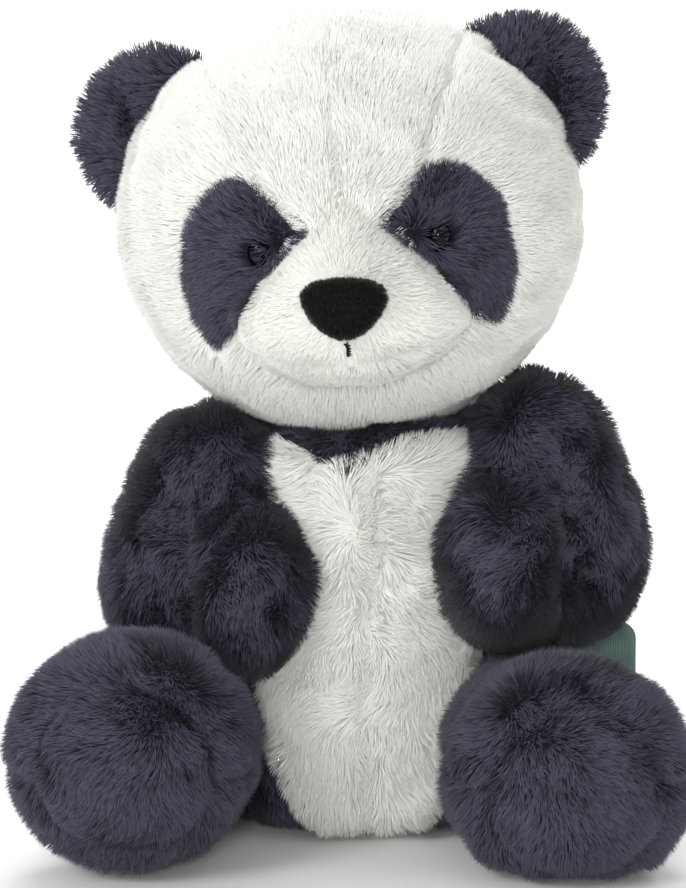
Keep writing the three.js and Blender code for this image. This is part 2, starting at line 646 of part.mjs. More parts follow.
// The origin stands on the floor under the middle of the toy's box.
const box = new THREE.Box3().setFromObject(panda, true);
panda.position.set(-(box.min.x + box.max.x) / 2, -(box.min.y + box.max.y) / 2, -box.min.z);

export default panda;
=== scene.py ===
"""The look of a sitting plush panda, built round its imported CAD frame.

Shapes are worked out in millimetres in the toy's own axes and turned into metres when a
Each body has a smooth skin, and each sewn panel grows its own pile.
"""

import json
import math
from typing import Any, NamedTuple

import bpy
import numpy as np
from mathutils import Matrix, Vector
from mathutils.kdtree import KDTree


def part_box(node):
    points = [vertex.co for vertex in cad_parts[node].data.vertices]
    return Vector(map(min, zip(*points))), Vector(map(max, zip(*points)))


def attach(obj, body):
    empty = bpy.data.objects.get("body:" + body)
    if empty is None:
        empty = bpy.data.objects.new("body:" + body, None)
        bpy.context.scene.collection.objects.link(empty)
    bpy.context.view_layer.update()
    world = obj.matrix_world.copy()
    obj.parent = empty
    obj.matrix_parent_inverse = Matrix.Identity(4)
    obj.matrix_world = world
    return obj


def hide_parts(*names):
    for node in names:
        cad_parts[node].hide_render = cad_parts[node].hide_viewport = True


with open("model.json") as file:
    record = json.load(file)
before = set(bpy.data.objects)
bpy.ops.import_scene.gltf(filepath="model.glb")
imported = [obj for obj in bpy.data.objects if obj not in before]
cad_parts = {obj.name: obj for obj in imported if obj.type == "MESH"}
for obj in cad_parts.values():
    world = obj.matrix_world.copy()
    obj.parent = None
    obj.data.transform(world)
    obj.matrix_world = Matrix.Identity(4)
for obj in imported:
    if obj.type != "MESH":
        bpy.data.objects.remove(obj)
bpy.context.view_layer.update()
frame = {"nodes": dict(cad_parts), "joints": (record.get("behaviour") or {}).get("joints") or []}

MM = 0.001
SEED = 11
FLOOR_GAP = 0.3                   # the pile is pressed flat just above the floor
SKIN_INSET = 3.5                  # the backing cloth lies this far under the CAD surface
DENSITY_SHARE = 1.0
FAR = 1e3                         # a distance beyond every seam and neighbour


# ---- Places that come from the frame ------------------------------------------------------
def joint_place(name):
    """Where a joint of the frame turns, in millimetres."""
    joint = next(j for j in frame["joints"] if j["name"] == name)
    return np.array(joint["pos_m"]) / MM


NECK = joint_place("neck_turn")
SIDE = {"left": -1.0, "right": 1.0}
SHOULDER = {name: joint_place(f"shoulder_swing_{name}") for name in SIDE}
HIP = {name: joint_place(f"hip_swing_{name}") for name in SIDE}


def rotation(x=0.0, y=0.0, z=0.0):
    """Turns about X, then Z, then Y, in degrees, as a matrix for column vectors."""
    ax, ay, az = (math.radians(angle) for angle in (x, y, z))
    turn_x = np.array([
        [1, 0, 0],
        [0, math.cos(ax), -math.sin(ax)],
        [0, math.sin(ax), math.cos(ax)],
    ])
    turn_y = np.array([
        [math.cos(ay), 0, math.sin(ay)],
        [0, 1, 0],
        [-math.sin(ay), 0, math.cos(ay)],
    ])
    turn_z = np.array([
        [math.cos(az), -math.sin(az), 0],
        [math.sin(az), math.cos(az), 0],
        [0, 0, 1],
    ])
    return turn_y @ turn_z @ turn_x


HEAD_CENTRE = NECK + np.array([-3.0, -6.0, 58.5])
HEAD_TURN = rotation(y=-5.7, z=-2.2)
HEAD_RADII = np.array([65.5, 55.0, 60.0])
TORSO_AXIS_X = NECK[0] - 1.0      # at the seat; the pear leans to +X as it rises
TORSO_AXIS_Y = NECK[1]
TORSO_LEAN = 0.03
TORSO_DEPTH = 0.86


def from_head(points):
    """Points in the head's tilted axes brought into the toy's axes."""
    return np.asarray(points, float) @ HEAD_TURN.T + HEAD_CENTRE


def in_head(points):
    return (np.asarray(points, float) - HEAD_CENTRE) @ HEAD_TURN


# ---- Rounded shapes as fields: below zero inside, in millimetres -----------------------------
class Lobe:
    """An ellipsoid with its own axes."""

    def __init__(self, centre, radii, turn=None):
        self.centre = np.asarray(centre, float)
        self.radii = np.asarray(radii, float)
        self.turn = np.eye(3) if turn is None else turn

    def field(self, points, inset=0.0):
        radii = self.radii - inset
        local = (points - self.centre) @ self.turn
        near = np.linalg.norm(local / radii, axis=1)
        steep = np.linalg.norm(local / radii ** 2, axis=1)
        return near * (near - 1.0) / np.maximum(steep, 1e-9)


def unit(rows):
    return rows / np.maximum(np.linalg.norm(rows, axis=1, keepdims=True), 1e-9)


def smooth_union(a, b, softness):
    share = np.clip(0.5 + 0.5 * (b - a) / softness, 0.0, 1.0)
    return b * (1 - share) + a * share - softness * share * (1 - share)


def smooth_cut(a, b, softness):
    """Keeps what is inside both fields."""
    return -smooth_union(-a, -b, softness)


class Groove(NamedTuple):
    """A sewn line or a fold: the skin sinks where `distance` is small, near `middle`."""

    distance: Any
    depth: float
    width: float
    middle: Any = None
    reach: float = 1.0

    def sink(self, points):
        sunk = self.depth * np.exp(-(self.distance(points) / self.width) ** 2)
        if self.middle is not None:
            away = np.linalg.norm(points - self.middle, axis=1) / self.reach
            sunk = sunk * np.exp(-away ** 4)
        return sunk


def plane_distance(point, normal):
    point = np.asarray(point, float)
    normal = np.asarray(normal, float) / np.linalg.norm(normal)
    return lambda points: (points - point) @ normal


def spot_distance(point):
    point = np.asarray(point, float)
    return lambda points: np.linalg.norm(points - point, axis=1)


def smooth_outline(corners, steps=6):
    """A closed Catmull-Rom curve through 2D corners."""
    corners = np.asarray(corners, float)
    before, after = np.roll(corners, 1, axis=0), np.roll(corners, -1, axis=0)
    later = np.roll(corners, -2, axis=0)
    rows = []
    for t in np.arange(steps) / steps:
        rows.append(0.5 * (
            2 * corners + (after - before) * t
            + (2 * before - 5 * corners + 4 * after - later) * t ** 2
            + (3 * corners - before - 3 * after + later) * t ** 3))
    return np.stack(rows, axis=1).reshape(-1, 2)


class Outline:
    """A closed 2D outline whose distance, below zero inside, is read from a fine grid."""

    STEP = 0.5
    MARGIN = 12.0

    def __init__(self, corners):
        outline = smooth_outline(corners)
        self.low = outline.min(0) - self.MARGIN
        self.size = np.ceil((outline.max(0) + self.MARGIN - self.low) / self.STEP).astype(int)
        columns, rows = (np.arange(n + 1) * self.STEP for n in self.size)
        flat = np.stack(np.meshgrid(columns, rows, indexing="ij"), axis=2).reshape(-1, 2)
        exact = self.exact_distance(flat + self.low, outline)
        self.grid = exact.reshape(self.size[0] + 1, self.size[1] + 1)

    @staticmethod
    def exact_distance(flat, outline):
        best = np.full(len(flat), 1e9)
        crossings = np.zeros(len(flat), int)
        for a, b in zip(outline, np.roll(outline, -1, axis=0)):
            edge = b - a
            share = np.clip(((flat - a) @ edge) / max(edge @ edge, 1e-9), 0, 1)
            best = np.minimum(best, np.linalg.norm(flat - a - share[:, None] * edge, axis=1))
            spans = (a[1] > flat[:, 1]) != (b[1] > flat[:, 1])
            rise = edge[1] if abs(edge[1]) > 1e-9 else 1e-9
            crossings += spans & (flat[:, 0] < a[0] + (flat[:, 1] - a[1]) * edge[0] / rise)
        return np.where(crossings % 2 == 1, -best, best)

    def distance(self, flat):
        place = np.clip((flat - self.low) / self.STEP, 0, self.size - 1e-6)
        cell = np.floor(place).astype(int)
        x, y = (place - cell).T
        i, j = cell.T
        near = self.grid[i, j] * (1 - x) * (1 - y) + self.grid[i + 1, j] * x * (1 - y)
        return near + self.grid[i, j + 1] * (1 - x) * y + self.grid[i + 1, j + 1] * x * y


# ---- The bodies' shapes ----------------------------------------------------------------------
class Shape:
    """A padded body: its field, the grooves in it, and a rough mesh to start its skin from."""

    def __init__(self, field, seeds, grooves=()):
        self.plain_field = field
        self.seeds = seeds
        self.grooves = list(grooves)

    def field(self, points):
        value = self.plain_field(points)
        for groove in self.grooves:
            value = value + groove.sink(points)
        return value

    def slope(self, points, step=0.35):
        rows = []
        for axis in np.eye(3):
            rows.append(self.field(points + axis * step) - self.field(points - axis * step))
        return np.stack(rows, axis=1) / (2 * step)

    def outward(self, points):
        return unit(self.slope(points))

    def settle(self, points, rounds=8):
        """Moves points onto the surface."""
        for _ in range(rounds):
            slope = self.slope(points)
            square = np.maximum((slope ** 2).sum(1), 0.05)
            step = self.field(points) / square
            points = points - slope * np.clip(step, -3, 3)[:, None]
        return points


def lobes_field(lobes, softness):
    def field(points):
        value = lobes[0].field(points, SKIN_INSET)
        for lobe in lobes[1:]:
            value = smooth_union(value, lobe.field(points, SKIN_INSET), softness)
        return value
    return field


TORSO_PROFILE = np.array([
    [-2, 40], [0, 44], [9, 52], [30, 54.5], [56, 50.5], [82, 44], [98, 42], [108, 39], [116, 33],
    [124, 22],
])


def torso_axis_x(height):
    return TORSO_AXIS_X + TORSO_LEAN * height


def torso_radius(height):
    return np.interp(height, TORSO_PROFILE[:, 0], TORSO_PROFILE[:, 1])


def torso_field(points):
    height = points[:, 2]
    across = points[:, 0] - torso_axis_x(height)
    deep = (points[:, 1] - TORSO_AXIS_Y) / TORSO_DEPTH
    around = np.hypot(across, deep)
    samples = [torso_radius(height + step) for step in (-6, -3, 0, 3, 6)]
    radius = np.average(samples, axis=0, weights=[1, 2, 2, 2, 1]) - SKIN_INSET
    side = (around - radius) * 0.9
    seat = SKIN_INSET - 0.5 - height
    top = height - (NECK[2] + 6.5 - SKIN_INSET)
    value = smooth_cut(smooth_cut(side, seat, 9.0), top, 12.0)
    upper = np.clip((height - 50.0) / 14.0, 0, 1)
    flat = np.abs(across) - (37.0 - SKIN_INSET) - (1 - upper) * 25.0
    return smooth_cut(value, flat, 10.0)


def torso_seeds():
    seeds = []
    for z in np.linspace(8, 108, 9):
        reach = torso_radius(z) - 4
        seeds.append(Lobe([torso_axis_x(z), TORSO_AXIS_Y, z], [reach, reach * TORSO_DEPTH, 14]))
    return seeds


def head_lobe(centre, radii, tilt=0.0, roll=0.0, yaw=0.0):
    return Lobe(from_head(centre), radii, HEAD_TURN @ rotation(x=tilt, y=roll, z=yaw))


HEAD_BALL = head_lobe([0, 0, 0], HEAD_RADII)
MUZZLE_LOBES = [
    head_lobe([0, -40, -20], [35, 32, 22.5]),
    head_lobe([0, -41, -14], [24, 25, 17.5]),
    head_lobe([0, -42, -4], [12.5, 19, 18], tilt=-20),
]
PATCH = Outline([
    [11, 3], [18, 10.5], [25, 16], [33, 14.5], [40, 7], [43.5, -7], [42.5, -18],
    [38, -26.5], [34, -25.5], [27, -16.5], [19.5, -6.5], [14, 0],
])
EYE_X = {"left": 24.1, "right": 26.2}
EYE_Z = -2.2
EYE_LIFT = {"left": 0.2, "right": 1.6}
MOUTH_X, MOUTH_TOP = -1.3, -27.0
CHIN_Z, CHIN_CURVE = -31.0, 0.0035
ON_SNOUT = 1.5                      # a seam this near the snout is the snout's own
EAR_SEAM_POINT = np.array([37.0, 0.0, 51.0])
EAR_SEAM_NORMAL = np.array([0.914, 0.0, -0.406])
HEAD_BACK_Y = 9.0


def mirrored(points, side):
    return points * np.array([side, 1.0, 1.0])


def head_field(points):
    ball = HEAD_BALL.field(points, SKIN_INSET)
    return smooth_union(ball, muzzle_distance(points), 2.2)


def patch_distance(points):
    """From the nearer eye patch's outline, below zero inside; far behind the face."""
    local = in_head(points)
    flat = np.stack([np.abs(local[:, 0]), local[:, 2]], axis=1)
    return np.where(local[:, 1] < -10, PATCH.distance(flat), FAR)


# How far a point on the head lies from the snout's own surface.
muzzle_distance = lobes_field(MUZZLE_LOBES, 8.0)


def outside_ear_seam(local):
    """How far points in the head's axes lie outside the nearer seam from ear to patch."""
    flat = np.stack([np.abs(local[:, 0]), local[:, 1], local[:, 2]], axis=1)
    return (flat - EAR_SEAM_POINT) @ EAR_SEAM_NORMAL


def head_seams(points):
    """Distance from the nearest seam of the pale head panels."""
    local = in_head(points)
    under_chin = (local[:, 1] < 0) & (local[:, 2] < -20)
    hidden = under_chin | (muzzle_distance(points) < ON_SNOUT)
    centre = np.where(hidden, FAR, np.abs(local[:, 0]))
    ear = np.abs(outside_ear_seam(local))
    ear = np.where((local[:, 2] > 12) & (local[:, 1] < HEAD_BACK_Y), ear, FAR)
    back = np.abs(local[:, 1] - HEAD_BACK_Y)
    return np.minimum(np.minimum(centre, ear), back)


def above_chin(local):
    """Height above the smile line, for points in the head's axes."""
    return local[:, 2] - CHIN_Z - CHIN_CURVE * local[:, 0] ** 2


def chin_seam(points):
    line = np.abs(above_chin(in_head(points)))
    return np.where(muzzle_distance(points) < ON_SNOUT, line, FAR)


def eye_seat(name):
    """The middle of an eye on the head's skin, and the way it faces."""
    local = np.array([[SIDE[name] * EYE_X[name], -48.0, EYE_Z]])
    place = HEAD.settle(from_head(local))
    return place[0], HEAD.outward(place)[0]


HEAD = Shape(head_field, [HEAD_BALL] + MUZZLE_LOBES, [
    Groove(head_seams, 1.0, 1.8),
    Groove(lambda p: np.abs(patch_distance(p)), 1.3, 2.4),
    Groove(chin_seam, 0.7, 2.0),
    Groove(spot_distance(from_head([EYE_X["right"], -50, EYE_Z])), 3.4, 9.0),
    Groove(spot_distance(from_head([-EYE_X["left"], -50, EYE_Z])), 4.4, 8.0),
])

BIB_MIDDLE = torso_axis_x(60.0) + 1.0
BIB = Outline([
    [-9, 2], [-20, 12], [-28, 34], [-31, 72], [-30, 103], [-18, 108], [-7, 103], [10, 108],
    [28, 107], [32, 72], [29, 36], [19, 12], [7, 2],
])
YOKE_Z = 98.0


def bib_distance(points):
    flat = np.stack([points[:, 0] - BIB_MIDDLE, points[:, 2]], axis=1)
    return np.where(points[:, 1] < TORSO_AXIS_Y - 10, BIB.distance(flat), FAR)


def torso_seams(points):
    centre = np.abs(points[:, 0] - BIB_MIDDLE)
    side = np.abs(points[:, 1] - (TORSO_AXIS_Y + 8.0))
    side = np.where(points[:, 2] < YOKE_Z, side, FAR)
    yoke = np.where(bib_distance(points) > 2, np.abs(points[:, 2] - YOKE_Z), FAR)
    return np.minimum(np.minimum(centre, side), yoke)


TORSO = Shape(torso_field, torso_seeds(), [
    Groove(torso_seams, 1.4, 2.6),
    Groove(lambda p: np.abs(bib_distance(p)), 1.2, 2.2),
])


def limb_lobes(joint, side, rows):
    """Lobes placed from a limb's joint. Rows give centre, radii and turns for the +X side."""
    return [
        Lobe(joint + mirrored(np.array(centre, float), side), radii,
             rotation(x=turn[0], y=side * turn[1], z=side * turn[2]))
        for centre, radii, turn in rows
    ]


def arm_shape(name):
    side, shoulder = SIDE[name], SHOULDER[name]
    fold = shoulder + mirrored(np.array([4.0, -34.0, -10.0]), side)
    seam = plane_distance(shoulder + mirrored(np.array([9.0, 0, 0]), side), [1, 0, 0])
    lobes = limb_lobes(shoulder, side, [
        ([7, -10, -13], [25, 28, 36], (6, -7, 0)),
        ([12.5, -14, -31], [23.5, 26, 23], (0, 0, 0)),
        ([-5, -36, -27], [19.5, 26, 24], (12, 0, 6)),
    ])
    return Shape(lobes_field(lobes, 15.0), lobes, [
        Groove(seam, 0.35, 2.4),
        Groove(plane_distance(fold, [side * 0.25, 0.75, -0.6]), 1.5, 3.2, fold, 20.0),
    ])


FOOT_LIFT = {"left": 3.2, "right": -1.5}
SOLE_SEAM_Y = -74.0


def leg_shape(name):
    hip = HIP[name]
    lobes = limb_lobes(hip, SIDE[name], [
        ([15, -57, FOOT_LIFT[name]], [34, 30, 32.5], (0, 0, -6)),
        ([9, -33, 0], [28, 42, 26], (0, 0, -6)),
        ([0, 0, 0], [21, 26.5, 26.5], (0, 0, 0)),
    ])
    sole = plane_distance(hip + np.array([0, SOLE_SEAM_Y, 0]), [0, 1, 0])
    waist = plane_distance(hip, [0, 0, 1])
    round_field = lobes_field(lobes, 5.0)

    def field(points):
        return smooth_cut(round_field(points), SKIN_INSET - 1.0 - points[:, 2], 5.0)

    def side_seam(points):
        behind = (points - hip)[:, 1] > SOLE_SEAM_Y
        return np.where(behind, waist(points), FAR)

    return Shape(field, lobes, [
        Groove(sole, 1.3, 2.6),
        Groove(side_seam, 1.0, 2.6),
    ])


EAR_CREASE = {"left": 0.8, "right": 3.4}


def ear_shape(name):
    side = SIDE[name]
    pivot = np.array([side * 50.0, 5.0, 28.0])
    direction = unit(pivot[None] * [1, 0, 1])[0]
    tilt = side * math.degrees(math.atan2(abs(direction[0]), direction[2]))
    disc = head_lobe(pivot, [24, 9, 24], roll=tilt)
    cup_centre = from_head([pivot[0] * 1.13, pivot[1] - 26.0, pivot[2] * 1.13])
    cup = Lobe(cup_centre, [23, 23, 23])

    def field(points):
        return smooth_cut(disc.field(points, 2.5), -cup.field(points), 4.0)

    shape = Shape(field, [disc])
    shape.pivot = from_head(pivot)
    shape.direction = direction @ HEAD_TURN.T
    crease = shape.pivot + shape.direction * 7.0 + np.array([side * 1.0, -6.0, 0.0])
    shape.grooves.append(
        Groove(plane_distance(crease, [1, 0, 0.15]), EAR_CREASE[name], 2.6, crease, 13.0))
    return shape


SHAPES = {"head": HEAD, "torso": TORSO}
for side_name in SIDE:
    SHAPES[f"arm_{side_name}"] = arm_shape(side_name)
    SHAPES[f"leg_{side_name}"] = leg_shape(side_name)
    SHAPES[f"ear_{side_name}"] = ear_shape(side_name)


# ---- Meshes ----------------------------------------------------------------------------------
def new_object(name, mesh):
    piece = bpy.data.objects.new(name, mesh)
    bpy.context.scene.collection.objects.link(piece)
    return piece


def mesh_from(name, points, corners, counts):
    """A mesh from numpy arrays: points in millimetres, and polygons of `counts` corners."""
    mesh = bpy.data.meshes.new(name)
    mesh.vertices.add(len(points))
    mesh.vertices.foreach_set("co", (points * MM).astype(np.float32).ravel())
    mesh.loops.add(len(corners))
    mesh.loops.foreach_set("vertex_index", corners.astype(np.int32))
    mesh.polygons.add(len(counts))
    starts = np.concatenate([[0], np.cumsum(counts)[:-1]]).astype(np.int32)
    mesh.polygons.foreach_set("loop_start", starts)
    mesh.update(calc_edges=True)
    return mesh


def quad_piece(name, points, quads, material):
    """An object of one material from points in millimetres and rows of four corners."""
    quads = np.asarray(quads)
    mesh = mesh_from(name, points, quads.ravel(), np.full(len(quads), 4))
    mesh.materials.append(material)
    mesh.polygons.foreach_set("use_smooth", np.ones(len(quads), bool))
    return new_object(name, mesh)


def ring_quads(rings, around, start=0, flipped=False):
    """The faces between closed rings of points, `around` points to a ring."""
    quads = []
    for row in range(rings - 1):
        for column in range(around):
            here = start + row * around + column
            beside = start + row * around + (column + 1) % around
            quad = [here, beside, beside + around, here + around]
            quads.append([quad[0], *quad[:0:-1]] if flipped else quad)
    return quads


def seed_mesh(lobes, inset):
    """Overlapping balls, to be remeshed into one."""
    rings, around = 16, 24
    polar = np.linspace(0, math.pi, rings + 1)[1:-1]
    turn = np.linspace(0, 2 * math.pi, around, endpoint=False)
    ball = np.array([[math.sin(a) * math.cos(b), math.sin(a) * math.sin(b), math.cos(a)]
                     for a in polar for b in turn] + [[0, 0, 1], [0, 0, -1]])
    top, bottom = len(ball) - 2, len(ball) - 1
    faces = ring_quads(rings - 1, around, flipped=True)
    last = (rings - 2) * around
    for column in range(around):
        beside = (column + 1) % around
        faces.append([top, column, beside])
        faces.append([bottom, last + beside, last + column])
    mesh = bpy.data.meshes.new("seed")
    vertices, polygons, total = [], [], 0
    for lobe in lobes:
        placed = (ball * (lobe.radii - inset)) @ lobe.turn.T + lobe.centre
        vertices.extend(map(tuple, placed * MM))
        polygons.extend([[corner + total for corner in face] for face in faces])
        total += len(ball)
    mesh.from_pydata(vertices, [], polygons)
    return mesh


class Skin:
    """The backing cloth of one body as plain arrays: points, quads and outward directions."""

    def __init__(self, shape, voxel=2.2):
        piece = new_object("seed", seed_mesh(shape.seeds, SKIN_INSET))
        remesh = piece.modifiers.new("remesh", "REMESH")
        remesh.mode = "VOXEL"
        remesh.voxel_size = voxel * MM
        smooth = piece.modifiers.new("smooth", "SMOOTH")
        smooth.factor, smooth.iterations = 0.5, 8
        bpy.context.view_layer.update()
        settled = piece.evaluated_get(bpy.context.evaluated_depsgraph_get()).to_mesh()
        points = np.zeros(len(settled.vertices) * 3, np.float32)
        settled.vertices.foreach_get("co", points)
        corners = np.zeros(len(settled.loops), np.int32)
        settled.loops.foreach_get("vertex_index", corners)
        bpy.data.objects.remove(piece)
        self.quads = corners.reshape(-1, 4)
        self.points = shape.settle(points.reshape(-1, 3).astype(float) / MM, rounds=12)
        self.outward = shape.outward(self.points)

    def triangles(self):
        return np.concatenate([self.quads[:, [0, 1, 2]], self.quads[:, [0, 2, 3]]])

    def scatter(self, per_mm2, rng):
        """Points spread evenly over the skin."""
        corners = self.points[self.triangles()]
        crossed = np.cross(corners[:, 1] - corners[:, 0], corners[:, 2] - corners[:, 0])
        areas = np.linalg.norm(crossed, axis=1) / 2
        count = int(areas.sum() * per_mm2)
        chosen = rng.choice(len(areas), count, p=areas / areas.sum())
        u, v = rng.random(count), rng.random(count)
        flip = u + v > 1
        u[flip], v[flip] = 1 - u[flip], 1 - v[flip]
        a, b, c = corners[chosen].transpose(1, 0, 2)
        return a + (b - a) * u[:, None] + (c - a) * v[:, None]


def wave_noise(points, size, rng, waves=10):
    """Smooth noise about -1 to 1 over points, with features about `size` millimetres wide."""
    directions = rng.normal(size=(waves, 3))
    directions /= np.linalg.norm(directions, axis=1, keepdims=True)
    lengths = size * rng.uniform(0.7, 1.6, waves)
    phases = rng.uniform(0, 2 * math.pi, waves)
    angles = points @ (directions / lengths[:, None] * math.pi).T + phases
    return np.sin(angles).sum(1) * math.sqrt(2.0 / waves)


# ---- Pile ------------------------------------------------------------------------------------
class Pile(NamedTuple):
    """How one cloth's pile grows. Lengths in millimetres, angles in degrees from upright."""

    material: Any
    length: float
    lean: float
    width: float
    density: float                # strands to a square millimetre
    clump: float
    pull: float
    stray: float = 0.25
    uneven: float = 0.12
    swirl: float = 0.45
    facing: float = 0.3
    jitter: float = 0.1


VARIANTS = 24                     # shades of strand in one pile
SPAN = np.array([0.0, 0.36, 0.7])            # where a strand's pairs of points lie along it
SPAN_WIDTH = np.array([0.85, 1.0, 0.72])


def along_skin(directions, outward):
    return directions - (directions * outward).sum(1, keepdims=True) * outward


def clump_of(points, spacing, rng):
    """For each point, the index of a point that leads its clump."""
    size = max(1, int(len(points) * min(1.0, spacing)))
    leaders = rng.choice(len(points), size, replace=False)
    tree = KDTree(size)
    for order, index in enumerate(leaders):
        tree.insert(points[index], order)
    tree.balance()
    found = np.array([tree.find(point)[1] for point in points])
    return leaders[found]


def grow(name, points, outward, comb, pile, crowding, seam, rng):
    """One panel's pile as a mesh of fine tapered blades."""
    count = len(points)
    flat = along_skin(comb, outward)
    strength = np.clip(np.linalg.norm(flat, axis=1) * 1.4, 0.25, 1.0)
    comb = unit(flat)
    across = np.cross(outward, comb)
    swirl = pile.swirl * (wave_noise(points, 14.0, rng) + 0.6 * wave_noise(points, 5.0, rng))
    comb = unit(comb * np.cos(swirl)[:, None] + across * np.sin(swirl)[:, None])
    uneven = 1 + pile.uneven * (0.6 * wave_noise(points, 9.0, rng) + rng.normal(size=count) * 0.6)
    length = pile.length * np.clip(uneven, 0.55, 1.35) * (0.72 + 0.28 * seam)
    length = length * (0.45 + 0.55 * crowding)
    lean = np.radians(pile.lean * strength * (1 + 0.25 * wave_noise(points, 6.0, rng)))
    lean = np.clip(lean + (1 - crowding) * 0.75, 0.1, 1.45)
    stray = unit(along_skin(rng.normal(size=(count, 3)), outward)) * pile.stray

    root_lean, tip_lean = lean * 0.6, np.minimum(lean * 1.35, 1.5)
    first = unit(outward * np.cos(root_lean)[:, None] + comb * np.sin(root_lean)[:, None] + stray)
    second = unit(outward * np.cos(tip_lean)[:, None] + comb * np.sin(tip_lean)[:, None]
                  + stray * 1.5)
    middle = points + first * (length * 0.5)[:, None]
    tip = middle + second * (length * 0.5)[:, None]
    leader = clump_of(points, 1.0 / max(1.0, pile.clump ** 2 * pile.density), rng)
    pull = pile.pull * rng.uniform(0.5, 1.3, count)[:, None]
    middle = middle + (middle[leader] - middle) * pull * 0.4
    tip = tip + (tip[leader] - tip) * pull

    rows, shades = [], []
    twist = rng.uniform(-0.7, 0.7, count)[:, None]
    half = pile.width * rng.uniform(0.7, 1.3, count)[:, None] / 2
    tone = rng.integers(0, VARIANTS, count)
    jitter = rng.normal(size=(count, 3)) * pile.jitter
    for share, wide in zip(SPAN, SPAN_WIDTH):
        centre = points * (1 - share) ** 2 + middle * 2 * share * (1 - share) + tip * share ** 2
        along = unit((middle - points) * (1 - share) + (tip - middle) * share)
        side = unit(np.cross(along, outward) + 1e-6)
        face = np.cross(side, along)
        side = side * np.cos(twist) + face * np.sin(twist)
        face = np.cross(side, along)
        shade = unit(outward + face * pile.facing + jitter)
        for edge in (-1, 1):
            rows.append(centre + side * half * wide * edge)
            shades.append(shade)
    rows.append(tip)
    shades.append(shades[-1])
    each = len(rows)
    vertices = np.stack(rows, axis=1).reshape(-1, 3)
    vertices[:, 2] = np.maximum(vertices[:, 2], FLOOR_GAP)
    normals = np.stack(shades, axis=1).reshape(-1, 3)

    pattern = np.array([0, 1, 3, 2, 2, 3, 5, 4, 4, 5, 6])
    corners = (np.arange(count)[:, None] * each + pattern).ravel()
    mesh = mesh_from(name, vertices, corners, np.tile([4, 4, 3], count))
    attribute = mesh.attributes.new("custom_normal", "FLOAT_VECTOR", "POINT")
    attribute.data.foreach_set("vector", normals.astype(np.float32).ravel())

    high = np.array([SPAN[0], SPAN[0], SPAN[1], SPAN[1], SPAN[2], SPAN[2], 1.0]) * 0.96 + 0.02
    wide = np.array([0.2, 0.8, 0.2, 0.8, 0.25, 0.75, 0.5])
    u = (tone[:, None] + wide[pattern]) / VARIANTS
    v = np.broadcast_to(high[pattern], u.shape)
    layer = mesh.uv_layers.new(name="OFBake")
    layer.data.foreach_set("uv", np.stack([u, v], axis=2).astype(np.float32).ravel())
    mesh.materials.append(pile.material)
    return new_object(name, mesh)


# ---- Materials -------------------------------------------------------------------------------
def linear(colour):
    """An sRGB colour of 0-255 numbers as the linear RGBA that shaders take."""
    rows = [c / 255 for c in colour]
    return [c / 12.92 if c <= 0.04045 else ((c + 0.055) / 1.055) ** 2.4 for c in rows] + [1.0]


def new_material(name, roughness, specular, sheen=0.0):
    material = bpy.data.materials.new(name)
    material.use_nodes = True
    shader = material.node_tree.nodes["Principled BSDF"]
    shader.inputs["Roughness"].default_value = roughness
    shader.inputs["Specular IOR Level"].default_value = specular
    shader.inputs["Sheen Weight"].default_value = sheen
    shader.inputs["Sheen Roughness"].default_value = 0.4
    return material, material.node_tree, shader


def add_node(tree, kind, sockets, **settings):
    """A shader node; `sockets` gives its inputs a number or another node's output."""
    node = tree.nodes.new("ShaderNode" + kind)
    for setting, value in settings.items():
        setattr(node, setting, value)
    for socket, value in sockets.items():
        if isinstance(value, bpy.types.NodeSocket):
            tree.links.new(value, node.inputs[socket])
        else:
            node.inputs[socket].default_value = value
    return node


def ramp_colour(tree, factor, stops):
    """The colour that a ramp of (place, colour) stops gives a factor."""
    node = add_node(tree, "ValToRGB", {"Fac": factor})
    elements = node.color_ramp.elements
    while len(elements) < len(stops):
        elements.new(0.5)
    for element, (place, colour) in zip(elements, stops):
        element.position = place
        element.color = linear(colour)
    return node.outputs["Color"]


def scaled(tree, vector, factor):
    """A colour or vector output times a number output."""
    return add_node(tree, "VectorMath", {0: vector, "Scale": factor}, operation="SCALE").outputs[0]


def spread(tree, factor, low, high):
    """A factor of 0 to 1 stretched over low to high."""
    sockets = {"Value": factor, "To Min": low, "To Max": high}
    return add_node(tree, "MapRange", sockets).outputs["Result"]


def grain(tree, scale, detail=2.0):
    """Noise in the object's own space, its features about 1 / scale metres wide."""
    place = add_node(tree, "TexCoord", {}).outputs["Object"]
    sockets = {"Vector": place, "Scale": scale, "Detail": detail}
    return add_node(tree, "TexNoise", sockets).outputs["Fac"]


def pile_material(name, stops, vary):
    """Pile coloured from root to tip, each blade a little lighter or darker than the next."""
    material, tree, shader = new_material(name, 0.9, specular=0.15, sheen=0.1)
    uv = add_node(tree, "UVMap", {}, uv_map="OFBake").outputs["UV"]
    split = add_node(tree, "SeparateXYZ", {0: uv})
    colour = ramp_colour(tree, split.outputs["Y"], stops)
    steps = add_node(tree, "Math", {0: split.outputs["X"], 1: VARIANTS}, operation="MULTIPLY")
    whole = add_node(tree, "Math", {0: steps.outputs[0]}, operation="FLOOR")
    noise = add_node(tree, "TexWhiteNoise", {"W": whole.outputs[0]}, noise_dimensions="1D")
    shade = spread(tree, noise.outputs["Value"], 1 - vary, 1 + vary)
    tree.links.new(scaled(tree, colour, shade), shader.inputs["Base Color"])
    light_both_sides(tree, shader)
    return material


def light_both_sides(tree, shader):
    """Shades the backs of thin blades with the same outward normal as their fronts."""
    geometry = add_node(tree, "NewGeometry", {})
    turn = add_node(tree, "Math", {0: geometry.outputs["Backfacing"], 1: -2.0, 2: 1.0},
                    operation="MULTIPLY_ADD")
    outward = scaled(tree, geometry.outputs["Normal"], turn.outputs[0])
    tree.links.new(outward, shader.inputs["Normal"])


